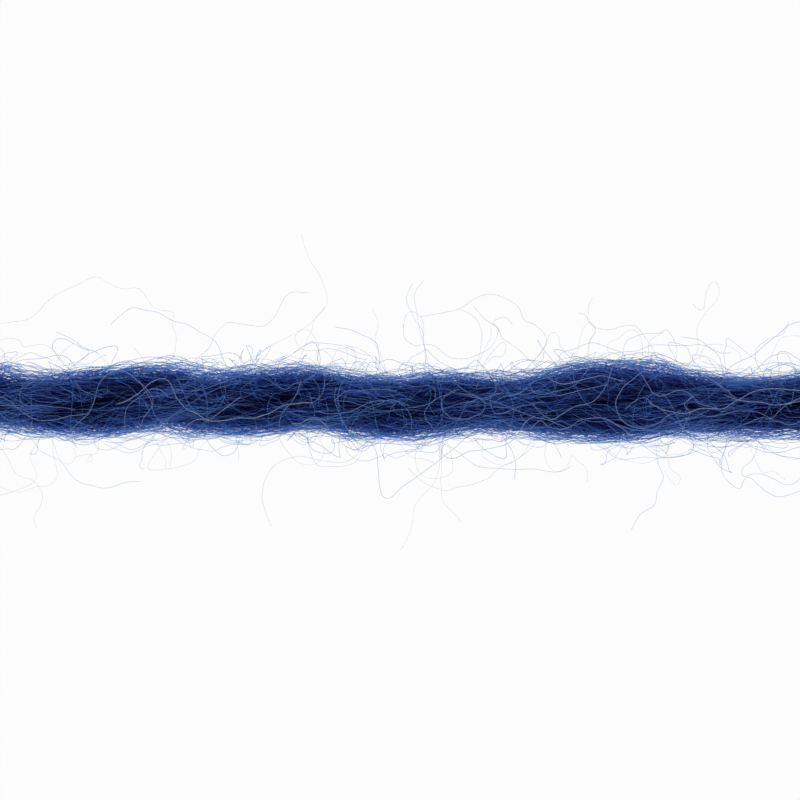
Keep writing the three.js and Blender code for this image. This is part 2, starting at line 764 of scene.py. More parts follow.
@dataclass(frozen=True)
class WoolHeart:
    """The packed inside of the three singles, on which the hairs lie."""

    yarn: PliedYarn
    finish: PackedWool = PackedWool()
    name: str = "yarn_heart"
    sunk: float = 0.6
    gap: float = 0.03
    sides: int = 24
    steps: int = 110
    end_inset: float = 0.12
    clear_of_table: float = 0.03
    seam_closed_at: float = 1e-7
    cord_width: float = 2.7
    cord_points: int = 41

    def build(self) -> bpy.types.Object:
        """Bends one grid round each single, closes it, and dresses the whole.

        Returns:
            The heart's object.
        """
        shape = bmesh.new()
        for single in range(self.yarn.course.singles):
            self.add_single(shape, single)
        open_edges = [edge for edge in shape.edges if edge.is_boundary]
        bmesh.ops.holes_fill(shape, edges=open_edges, sides=0)
        bmesh.ops.recalc_face_normals(shape, faces=shape.faces)
        mesh = bpy.data.meshes.new(self.name)
        shape.to_mesh(mesh)
        shape.free()
        mesh.polygons.foreach_set("use_smooth", np.ones(len(mesh.polygons), bool))
        heart = bpy.data.objects.new(self.name, mesh)
        bpy.context.scene.collection.objects.link(heart)
        return dress(heart, self.finish.material())

    def add_single(self, shape: bmesh.types.BMesh, single: int) -> None:
        """Adds the skin of one single, open at its two ends.

        Args:
            shape: The mesh that gets it.
            single: Which single.
        """
        made = bmesh.ops.create_grid(
            shape, x_segments=self.steps, y_segments=self.sides, size=1.0
        )
        verts = made["verts"]
        flat = np.array([vert.co for vert in verts])
        reach = self.yarn.course.cut_length / 2 - self.end_inset
        x, direction = flat[:, 0] * reach, flat[:, 1] * FULL_TURN / 2
        points = self.yarn.on_single(single, x, direction, gap=self.gap, sunk=self.sunk)
        points[:, 2] = np.maximum(points[:, 2], self.clear_of_table)
        for vert, point in zip(verts, points * MM):
            vert.co = Vector(point)
        bmesh.ops.remove_doubles(shape, verts=verts, dist=self.seam_closed_at)

    def declare(self) -> None:
        """Hides the singles' own solids, since the heart stands for them. The cord's middle line it
        works out is not used.
        """
        course = self.yarn.course
        path = course.axis(np.linspace(-0.5, 0.5, self.cord_points) * course.cut_length) * MM
        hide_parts("single_a", "single_b", "single_c")


@dataclass(frozen=True)
class SpunHairs(HairPiece):
    """The hairs at the skin of one single, held by its spin.

    The singles are spun the other way from how they are plied, so on the yarn's face
    the hairs lie almost straight along it. They lie in locks of a few hairs, and the
    first locks lie along the valleys. The spreads of spin, shift and shade are first that
    of a lock and then that of a hair in it. A hair's two ends sink in, nearer to its tips
    the higher ends_bend is.
    """

    yarn: PliedYarn
    single: int
    name: str
    locks: int = 170
    hairs_in_lock: int = 8
    steps: int = 9
    place_spread: float = 0.35
    reach: tuple[float, float] = (1.0, 3.2)
    shortest: float = 0.8
    past_the_cut: float = 0.03
    spin: float = 0.74
    spin_spread: tuple[float, float] = (0.13, 0.035)
    shift_spread: tuple[float, float] = (0.5, 0.09)
    valley_locks: int = 24
    valley_spin: tuple[float, float] = (0.06, 0.06)
    valley_direction: tuple[float, float] = (0.75, 1.1)
    lock_heights: tuple[float, float] = (0.02, 0.09)
    lock_lengths: tuple[float, float] = (2.2, 5.0)
    sideways: Waves = Waves(heights=(0.035, 0.012), lengths=(1.9, 0.8))
    upwards: Waves = Waves(heights=(0.022, 0.01), lengths=(2.2, 0.9))
    back_reach: float = 0.44
    deepest: float = -0.74
    depth: float = 0.52
    depth_shape: tuple[float, float] = (1.2, 2.5)
    depth_spread: float = 0.05
    ends_sunk: float = 0.1
    ends_bend: int = 6
    # Painted shade: the deepest hairs get the first shade and the outermost the second, darker where
    # less light would reach.
    shade: tuple[float, float] = (0.21, 0.53)
    shade_spread: tuple[float, float] = (0.05, 0.05)
    shade_limits: tuple[float, float] = (0.12, 0.7)
    # Painted shade: hairs down the valleys between singles are drawn darker.
    valley_painted_shade: float = 0.18
    # Painted light: hairs nearer the rim seen from above are drawn lighter, as if the table's light
    # came through them.
    painted_rim_light: float = 0.2
    radius: float = 0.015
    own_radius: tuple[float, float] = (0.75, 1.25)
    seed: int = 11

    def lay(self) -> Hairs:
        """Lays the hairs, lock by lock.

        Returns:
            The hairs.
        """
        rng = np.random.default_rng(self.seed + self.single)
        lock = np.arange(self.locks * self.hairs_in_lock) // self.hairs_in_lock
        middle, x = self.places(rng, lock)
        direction = self.directions(rng, lock, middle, x)
        base = self.deepest + self.depth * rng.beta(*self.depth_shape, self.locks)[lock]
        base = base + rng.normal(0, self.depth_spread, len(lock))
        lift = base[:, None] + crimp(rng, x, self.upwards)
        from_middle = np.abs(2 * np.linspace(0, 1, self.steps) - 1)
        lift = lift - self.ends_sunk * from_middle**self.ends_bend
        paths = self.yarn.on_single(self.single, x, direction, lift)
        shade = self.shades(rng, lock, base, direction)
        # Painted rim light.
        shade = shade + self.painted_rim_light * self.yarn.near_rim(paths)
        radius = self.radius * rng.uniform(*self.own_radius, len(lock))
        return Hairs(paths, radius, shade)

    def places(self, rng: np.random.Generator, lock: Array) -> tuple[Array, Array]:
        """Where the hairs lie along the yarn.

        Args:
            rng: The piece's own random numbers.
            lock: Each hair's lock.

        Returns:
            Each hair's middle, and the places of its points.
        """
        end = self.yarn.course.cut_length / 2
        count = len(lock)
        middle = rng.uniform(-end, end, self.locks)[lock]
        middle = middle + rng.normal(0, self.place_spread, count)
        start = middle - rng.uniform(*self.reach, count)
        start = np.maximum(start, -end - self.past_the_cut)
        stop = middle + rng.uniform(*self.reach, count)
        stop = np.minimum(stop, end + self.past_the_cut)
        stop = np.maximum(stop, start + self.shortest)
        share = np.linspace(0, 1, self.steps)
        return middle, start[:, None] + (stop - start)[:, None] * share

    def directions(
        self, rng: np.random.Generator, lock: Array, middle: Array, x: Array
    ) -> Array:
        """The angles of the hairs' points from the single's own outward direction.

        Args:
            rng: The piece's own random numbers.
            lock: Each hair's lock.
            middle: Each hair's middle along the yarn.
            x: The places of its points.

        Returns:
            The angle at each point.
        """
        spin = rng.normal(self.spin, self.spin_spread[0], self.locks)
        shift = rng.normal(0, self.shift_spread[0], self.locks)
        edge = rng.choice((-1, 1), self.valley_locks)
        spin[: self.valley_locks] = rng.normal(*self.valley_spin, self.valley_locks)
        beside = rng.uniform(*self.valley_direction, self.valley_locks)
        shift[: self.valley_locks] = edge * beside
        spin = spin[lock] + rng.normal(0, self.spin_spread[1], len(lock))
        shift = shift[lock] + rng.normal(0, self.shift_spread[1], len(lock))
        sway = self.lock_wave(rng, x, lock) + crimp(rng, x, self.sideways)
        straight = spin[:, None] * (x - middle[:, None]) + shift[:, None]
        return straight + sway / (self.back_reach * self.yarn.course.half(x))

    def lock_wave(self, rng: np.random.Generator, x: Array, lock: Array) -> Array:
        """The sideways wave that the hairs of a lock share.

        Args:
            rng: The piece's own random numbers.
            x: The places of the hairs' points.
            lock: Each hair's lock.

        Returns:
            The displacement at each point.
        """
        heights = rng.uniform(*self.lock_heights, self.locks)[lock][:, None]
        lengths = rng.uniform(*self.lock_lengths, self.locks)[lock][:, None]
        starts = rng.random(self.locks)[lock][:, None]
        return heights * np.sin(FULL_TURN * (x / lengths + starts))

    def shades(
        self, rng: np.random.Generator, lock: Array, base: Array, direction: Array
    ) -> Array:
        """The hairs' shades, with painted shade: darker the deeper a hair lies, and darker in the
        valleys.

        Args:
            rng: The piece's own random numbers.
            lock: Each hair's lock.
            base: How far outside the skin each hair lies.
            direction: The angles of its points.

        Returns:
            The shade at each point.
        """
        inner, outer = self.shade
        shade = inner + (outer - inner) * (base - self.deepest) / self.depth
        shade = shade + rng.normal(0, self.shade_spread[0], self.locks)[lock]
        shade = shade + rng.normal(0, self.shade_spread[1], len(lock))
        shade = shade.clip(*self.shade_limits)[:, None]
        return shade - self.valley_painted_shade * in_valley(direction)


@dataclass(frozen=True)
class LooseHabit:
    """How one kind of loose hair leaves the yarn and wanders.

    Gathered is how much more of the hairs stand at the yarn's two sides, up to 0.5.
    """

    name: str
    count: int
    length: tuple[float, float]
    steps: int
    heading: float
    turning: float
    rise: tuple[float, float]
    settle: tuple[float, float]
    start_lift: tuple[float, float]
    shade: tuple[float, float]
    radius: float
    bridging: float = 0.7
    wave: float = 0.25
    wave_lengths: tuple[float, float] = (2.4, 0.9)
    gathered: float = 0.0
    dye: DyedWool = FINE
    seed: int = 0

    def waves(self, shares: tuple[float, ...]) -> Waves:
        """The habit's waves, each at a share of its height."""
        return Waves(tuple(self.wave * share for share in shares), self.wave_lengths)


@dataclass(frozen=True)
class LooseHairs(HairPiece):
    """Loose hairs of one habit, all round the yarn.

    Sideways and upwards are shares of the habit's wave height, and widening is the share of its lift
    that widens the circle a hair goes round in. Hairs get painted light further out and painted shade
    deeper in, between two given lifts, painted shade in a valley up to the lift of valley_reach, and
    painted shade on the yarn's face away from the rim.
    """

    yarn: PliedYarn
    habit: LooseHabit
    rise_shape: tuple[float, float] = (1.2, 2.6)
    sideways: tuple[float, float] = (1.0, 0.6)
    upwards: tuple[float, float] = (0.5, 0.4)
    past_the_cut: tuple[float, float] = (-0.15, 0.2)
    fewer_below: float = 0.24
    widening: float = 0.5
    # Painted light and shade: a hair is drawn lighter the further out it lies and darker deeper in,
    # between the next two lifts.
    painted_light_outwards: float = 0.8
    painted_light_lifts: tuple[float, float] = (-0.4, 0.15)
    # Painted shade: hairs on the yarn's face, away from the rim seen from above, are drawn darker.
    face_painted_shade: float = 0.07
    # Painted shade: hairs that lie low in a valley are drawn darker.
    valley_painted_shade: float = 0.18
    valley_reach: float = 0.2
    own_radius: tuple[float, float] = (0.75, 1.2)

    @property
    def name(self) -> str:
        """The habit's name, which the piece has too."""
        return self.habit.name

    def lay(self) -> Hairs:
        """Grows the hairs over the yarn's skin.

        Returns:
            The hairs.
        """
        habit = self.habit
        rng = np.random.default_rng(habit.seed)
        length = rng.uniform(*habit.length, habit.count)
        heading, pitch = self.wander(rng, length)
        x, angle, lift = self.grow(rng, length, heading, pitch)
        paths = self.yarn.round_yarn(x, angle, lift, habit.bridging)
        shade = self.shades(rng, x, angle, lift)
        # Painted shade on the face, none at the rim.
        shade = shade - self.face_painted_shade * (1 - self.yarn.near_rim(paths))
        shade = shade.clip(HairShade.DEEP.value, HairShade.PALE.value)
        radius = habit.radius * rng.uniform(*self.own_radius, habit.count)
        return Hairs(paths, radius, shade)

    def wander(self, rng: np.random.Generator, length: Array) -> tuple[Array, Array]:
        """How the hairs turn as they go.

        Args:
            rng: The piece's own random numbers.
            length: Each hair's length.

        Returns:
            The heading over the skin and the pitch away from it, at each point.
        """
        habit, count = self.habit, self.habit.count
        share = np.linspace(0, 1, habit.steps)
        s = length[:, None] * share
        way = rng.choice((0.0, math.pi), count) + rng.normal(0, habit.heading, count)
        turning = rng.normal(0, habit.turning, count)
        heading = way[:, None] + turning[:, None] * s
        heading = heading + crimp(rng, s, habit.waves(self.sideways))
        lowest, highest = habit.rise
        rise = lowest + (highest - lowest) * rng.beta(*self.rise_shape, count)
        settle = rng.uniform(*habit.settle, count)
        pitch = rise[:, None] * (1 + (settle[:, None] - 1) * share)
        pitch = pitch + crimp(rng, s, habit.waves(self.upwards))
        return heading, pitch

    def grow(
        self, rng: np.random.Generator, length: Array, heading: Array, pitch: Array
    ) -> tuple[Array, Array, Array]:
        """Walks along each hair, and pushes those that pass the cut ends back.

        Args:
            rng: The piece's own random numbers.
            length: Each hair's length.
            heading: The heading over the skin at each point.
            pitch: The pitch away from the skin at each point.

        Returns:
            The place along the yarn, the angle round it and the lift, at each point.
        """
        habit = self.habit
        end = self.yarn.course.cut_length / 2
        step = length / (habit.steps - 1)
        first_x = rng.uniform(-end, end, habit.count)[:, None]
        x = first_x + self.walked(np.cos(pitch) * np.cos(heading), step)
        around = self.walked(np.cos(pitch) * np.sin(heading), step)
        lift = rng.uniform(*habit.start_lift, habit.count)[:, None]
        lift = lift + self.walked(np.sin(pitch), step)
        lift = np.maximum(lift, habit.start_lift[0])
        first_angle = rng.uniform(0, FULL_TURN, habit.count)[:, None]
        gather = habit.gathered * np.sin(2 * first_angle)
        first_angle = first_angle - gather + self.fewer_below * np.cos(first_angle)
        half = self.yarn.course.half(first_x)
        angle = first_angle + around / (half + lift.clip(0) * self.widening)
        ends = end + rng.uniform(*self.past_the_cut, habit.count)[:, None]
        x = x - np.maximum(x.max(axis=1, keepdims=True) - ends, 0)
        x = x - np.minimum(x.min(axis=1, keepdims=True) + ends, 0)
        return x, angle, lift

    def shades(self, rng: np.random.Generator, x: Array, angle: Array, lift: Array) -> Array:
        """The hairs' shades: painted shade in the valleys, painted light further out and painted
        shade deeper in.

        Args:
            rng: The piece's own random numbers.
            x: The points' places along the yarn.
            angle: Their angles round it.
            lift: How far outside the skin they lie.

        Returns:
            The shade at each point.
        """
        low = np.clip(1 - lift / self.valley_reach, 0, 1)
        sunk = in_valley(self.yarn.from_lobe(x, angle)) * low
        shade = rng.uniform(*self.habit.shade, self.habit.count)[:, None]
        shade = shade - self.valley_painted_shade * sunk
        return shade + self.painted_light_outwards * lift.clip(*self.painted_light_lifts)

    @staticmethod
    def walked(pace: Array, step: Array) -> Array:
        """The distance gone at each point, from the pace between points."""
        gone = np.cumsum((pace[:, 1:] + pace[:, :-1]) / 2 * step[:, None], axis=1)
        return np.concatenate([np.zeros((len(pace), 1)), gone], axis=1)


Course = tuple[tuple[float, float], ...]


class Flyaway(NamedTuple):
    """One long hair that stands out from the yarn: its course, its heights and its shade."""

    course: Course
    top: float
    tip: float
    shade: float = 0.97
    radius: float = 0.0072


class LaidHair(NamedTuple):
    """One loose hair that lies over the yarn."""

    course: Course
    shade: float = 0.8
    radius: float = 0.0145


@dataclass(frozen=True)
class PlacedHairs(HairPiece):
    """Hairs that lie on given courses, one by one, on smooth, slightly crimped curves."""

    yarn: PliedYarn
    hairs: tuple[Flyaway | LaidHair, ...]
    name: str
    steps: int
    waves: Waves
    seed: int
    drawn_per_point: int = 12

    def lay(self) -> Hairs:
        """Draws each hair on its course.

        Returns:
            The hairs.
        """
        rng = np.random.default_rng(self.seed)
        flat = np.stack([self.smooth(hair.course) for hair in self.hairs])
        paths = np.concatenate([flat, self.heights(flat)[..., None]], axis=-1)
        gone = np.linalg.norm(np.diff(flat, axis=1), axis=-1).cumsum(axis=1)
        s = np.concatenate([np.zeros((len(paths), 1)), gone], axis=1)
        for column in range(3):
            paths[..., column] += crimp(rng, s, self.waves)
        radius = np.array([hair.radius for hair in self.hairs])
        shade = np.array([hair.shade for hair in self.hairs])
        return Hairs(paths, radius, shade)

    @abstractmethod
    def heights(self, flat: Array) -> Array:
        """How high each point lies, from where it is seen from above."""

    def smooth(self, course: Course) -> Array:
        """Draws a smooth curve through a course, seen from above.

        Args:
            course: The points that the curve goes through.

        Returns:
            Evenly spaced points on the curve.
        """
        here = np.array(course)
        ends = np.concatenate([2 * here[:1] - here[1:2], here, 2 * here[-1:] - here[-2:-1]])
        t = np.linspace(0, len(course) - 1, self.drawn_per_point * len(course))
        i = np.minimum(t.astype(int), len(course) - 2)
        u = (t - i)[:, None]
        before, here, after, beyond = (ends[i + k] for k in range(4))
        bend = 2 * before - 5 * here + 4 * after - beyond
        twist = 3 * (here - after) + beyond - before
        curve = here + 0.5 * u * (after - before + u * (bend + u * twist))
        gone = np.linalg.norm(np.diff(curve, axis=0), axis=-1).cumsum()
        s = np.concatenate([[0.0], gone])
        even = np.linspace(0, s[-1], self.steps)
        return np.stack([np.interp(even, s, curve[:, column]) for column in range(2)], axis=-1)


@dataclass(frozen=True)
class LaidHairs(PlacedHairs):
    """The loose hairs that lie over the yarn one by one."""

    name: str = "laid_hairs"
    steps: int = 56
    waves: Waves = Waves(heights=(0.026, 0.011), lengths=(2.4, 0.9))
    seed: int = 32
    clear_of_yarn: float = 0.14

    def heights(self, flat: Array) -> Array:
        """How high each point lies: just over the yarn."""
        return self.yarn.top(flat[..., 0], flat[..., 1]) + self.clear_of_yarn


@dataclass(frozen=True)
class Flyaways(PlacedHairs):
    """The long hairs that have worked loose and stand out from the yarn one by one."""

    name: str = "flyaway_hairs"
    steps: int = 90
    waves: Waves = Waves(heights=(0.02, 0.006), lengths=(2.4, 0.9))
    seed: int = 31
    root_height: float = 1.2

    def heights(self, flat: Array) -> Array:
        """How high each point lies, from the root over the top to the tip.

        Args:
            flat: The points seen from above.

        Returns:
            The height at each point.
        """
        top = np.array([hair.top for hair in self.hairs])
        tip = np.array([hair.tip for hair in self.hairs])
        share = np.linspace(0, 1, flat.shape[1])
        straight = self.root_height + np.outer(tip - self.root_height, share)
        rise = top - (self.root_height + tip) / 2
        return straight + np.outer(rise, 4 * share * (1 - share))


@dataclass(frozen=True)
class CutEnds(HairPiece):
    """The brush of hair ends at each square cut."""

    yarn: PliedYarn
    name: str = "cut_end_hairs"
    per_single: int = 280
    inside: float = 1.0
    proud: tuple[float, float] = (-0.12, 0.12)
    filled: float = 0.84
    gap: float = 0.04
    splay: float = 0.05
    under_skin: float = 0.03
    waves: Waves = Waves(heights=(0.05,), lengths=(1.4,))
    shade: tuple[float, float] = (0.28, 0.62)
    steps: int = 6
    radius: float = 0.02
    own_radius: tuple[float, float] = (0.75, 1.25)
    seed: int = 71

    def lay(self) -> Hairs:
        """Fills each single's two ends with hairs.

        Returns:
            The hairs.
        """
        rng = np.random.default_rng(self.seed)
        rows = [
            self.one_end(rng, single, side)
            for side in (-1, 1)
            for single in range(self.yarn.course.singles)
        ]
        paths = np.concatenate(rows)
        shade = rng.uniform(*self.shade, len(paths))
        radius = self.radius * rng.uniform(*self.own_radius, len(paths))
        return Hairs(paths, radius, shade)

    def one_end(self, rng: np.random.Generator, single: int, side: int) -> Array:
        """The hairs at one end of one single.

        Args:
            rng: The piece's own random numbers.
            single: Which single.
            side: -1 for the end towards -X, and 1 for the other.

        Returns:
            A row of points for each hair.
        """
        count = self.per_single
        end = self.yarn.course.cut_length / 2
        share = np.linspace(0, 1, self.steps)
        tip = end + rng.uniform(*self.proud, count)[:, None]
        x = side * (end - self.inside + (tip - end + self.inside) * share)
        direction = rng.uniform(-math.pi, math.pi, count)[:, None]
        out = self.filled * np.sqrt(rng.random(count))[:, None]
        skin = self.yarn.section.reach(direction, self.yarn.course.half(x), self.gap)
        splay = 1 + self.splay * share * rng.normal(0, 1, (count, 1))
        lift = skin * (out * splay - 1) - self.under_skin
        turned = direction + crimp(rng, x, self.waves)
        return self.yarn.on_single(single, x, turned, lift, self.gap)


@dataclass(frozen=True)
class Studio:
    """The pale table, the soft light round it, and the camera straight above."""

    view_mm: float = 32.0
    camera_height: float = 0.16
    sensor: float = 36.0
    sees: tuple[float, float] = (0.01, 20.0)
    table_size: float = 3.0
    table: str = "fdfdfd"
    table_grey: float = 0.05
    table_roughness: float = 0.9
    table_glow: float = 0.985
    horizon: float = 1.35
    zenith: float = 0.17
    falling: float = 3.0

    def build(self) -> None:
        """Makes everything that is not the yarn."""
        self.add_camera()
        self.add_table()
        self.add_sky()
        bpy.context.scene.view_settings.view_transform = "Standard"

    def add_camera(self) -> None:
        """A long lens looks straight down, so that the yarn fills the picture's width."""
        camera = bpy.data.cameras.new("camera")
        level = CAD_BOX[1][2] / 2
        distance = self.camera_height - level
        camera.sensor_width = self.sensor
        camera.lens = self.sensor * distance / (self.view_mm * MM)
        camera.clip_start, camera.clip_end = self.sees
        holder = bpy.data.objects.new("camera", camera)
        holder.location = (0.0, 0.0, self.camera_height)
        bpy.context.scene.collection.objects.link(holder)
        bpy.context.scene.camera = holder

    def add_table(self) -> None:
        """A white table, lit evenly through itself, so that it shows no shadow."""
        shape = bmesh.new()
        bmesh.ops.create_grid(shape, x_segments=1, y_segments=1, size=self.table_size / 2)
        mesh = bpy.data.meshes.new("table")
        shape.to_mesh(mesh)
        shape.free()
        table = bpy.data.objects.new("table", mesh)
        bpy.context.scene.collection.objects.link(table)
        material, tree = new_material("lit_white_table")
        surface = add_node(
            tree,
            "ShaderNodeBsdfPrincipled",
            {
                "Base Color": (*[self.table_grey] * 3, 1.0),
                "Roughness": self.table_roughness,
                "Specular IOR Level": 0.0,
                "Emission Color": linear(self.table),
                "Emission Strength": self.table_glow,
            },
        )
        add_node(tree, "ShaderNodeOutputMaterial", {"Surface": surface.outputs[0]})
        mesh.materials.append(material)

    def add_sky(self) -> None:
        """Soft white light from all sides, weaker from above, where the camera is."""
        world = bpy.data.worlds.new("soft_light")
        bpy.context.scene.world = world
        world.use_nodes = True
        tree = world.node_tree
        tree.nodes.clear()
        place = add_node(tree, "ShaderNodeTexCoord")
        parts = add_node(tree, "ShaderNodeSeparateXYZ", {0: place.outputs["Generated"]})
        below_top = add_node(
            tree, "ShaderNodeMath", {0: 1.0, 1: parts.outputs["Z"]}, operation="SUBTRACT"
        )
        falling = add_node(
            tree,
            "ShaderNodeMath",
            {0: below_top.outputs[0], 1: self.falling},
            operation="POWER",
            use_clamp=True,
        )
        strength = add_node(
            tree,
            "ShaderNodeMapRange",
            {"Value": falling.outputs[0], "To Min": self.zenith, "To Max": self.horizon},
        )
        light = add_node(
            tree,
            "ShaderNodeBackground",
            {"Color": (1.0, 1.0, 1.0, 1.0), "Strength": strength.outputs[0]},
        )
        add_node(tree, "ShaderNodeOutputWorld", {"Surface": light.outputs[0]})


# Each kind's shade range is partly painted: kinds that lie deeper, such as the inner fuzz, are drawn
# darker as painted shade, and the downy and side fuzz at the rim lighter as painted rim light.
HABITS = (
    LooseHabit(
        name="inner_fuzz",
        count=1800,
        length=(2.0, 5.0),
        steps=10,
        heading=0.1,
        turning=0.08,
        rise=(0.0, 0.16),
        settle=(-1.3, -0.5),
        start_lift=(-0.55, -0.2),
        shade=(0.58, 0.78),
        radius=0.018,
        bridging=0.0,
        wave=0.12,
        gathered=0.25,
        seed=25,
    ),
    LooseHabit(
        name="short_fuzz",
        count=2450,
        length=(1.5, 4.0),
        steps=14,
        heading=0.11,
        turning=0.12,
        rise=(0.0, 0.62),
        settle=(-1.3, -0.4),
        start_lift=(-0.54, -0.14),
        shade=(0.64, 0.8),
        radius=0.0112,
        bridging=0.05,
        wave=0.15,
        wave_lengths=(1.8, 0.8),
        gathered=0.2,
        seed=22,
    ),
    LooseHabit(
        name="downy_fuzz",
        count=3450,
        length=(1.0, 2.6),
        steps=10,
        heading=0.22,
        turning=0.24,
        rise=(0.0, 0.85),
        settle=(-1.2, -0.3),
        start_lift=(-0.5, 0.06),
        shade=(0.7, 0.86),
        radius=0.0095,
        bridging=0.15,
        wave=0.24,
        wave_lengths=(1.5, 0.7),
        gathered=0.42,
        seed=26,
    ),
    LooseHabit(
        name="side_fuzz",
        count=1900,
        length=(1.2, 3.0),
        steps=9,
        heading=0.2,
        turning=0.2,
        rise=(0.0, 0.4),
        settle=(-1.2, -0.3),
        start_lift=(-0.5, 0.12),
        shade=(0.8, 0.93),
        radius=0.0105,
        bridging=0.15,
        wave=0.2,
        wave_lengths=(1.8, 0.8),
        gathered=0.46,
        seed=27,
    ),
    LooseHabit(
        name="crossing_hairs",
        count=30,
        length=(3.0, 9.0),
        steps=36,
        heading=0.4,
        turning=0.25,
        rise=(0.0, 0.1),
        settle=(-1.2, -0.6),
        start_lift=(-0.1, 0.06),
        shade=(0.6, 0.76),
        radius=0.015,
        bridging=0.5,
        wave=0.16,
        dye=KEMP,
        seed=21,
    ),
    LooseHabit(
        name="pale_hairs",
        count=6,
        length=(3.0, 8.0),
        steps=36,
        heading=0.4,
        turning=0.2,
        rise=(0.0, 0.08),
        settle=(-1.2, -0.6),
        start_lift=(-0.02, 0.08),
        shade=(0.76, 0.84),
        radius=0.016,
        bridging=0.5,
        wave=0.14,
        dye=KEMP,
        seed=24,
    ),
    LooseHabit(
        name="frizz",
        count=430,
        length=(1.2, 3.2),
        steps=22,
        heading=0.5,
        turning=0.8,
        rise=(0.3, 1.0),
        settle=(-1.2, -0.2),
        start_lift=(-0.15, 0.05),
        shade=(0.66, 0.82),
        radius=0.0078,
        wave=0.45,
        wave_lengths=(1.7, 0.8),
        gathered=0.42,
        seed=28,
    ),
    LooseHabit(
        name="curled_fuzz",
        count=115,
        length=(3.0, 7.0),
        steps=44,
        heading=0.5,
        turning=0.6,
        rise=(0.4, 1.1),
        settle=(-1.0, 0.1),
        start_lift=(-0.1, 0.05),
        shade=(0.66, 0.8),
        radius=0.0078,
        wave=0.3,
        wave_lengths=(3.2, 1.4),
        gathered=0.42,
        seed=23,
    ),
)


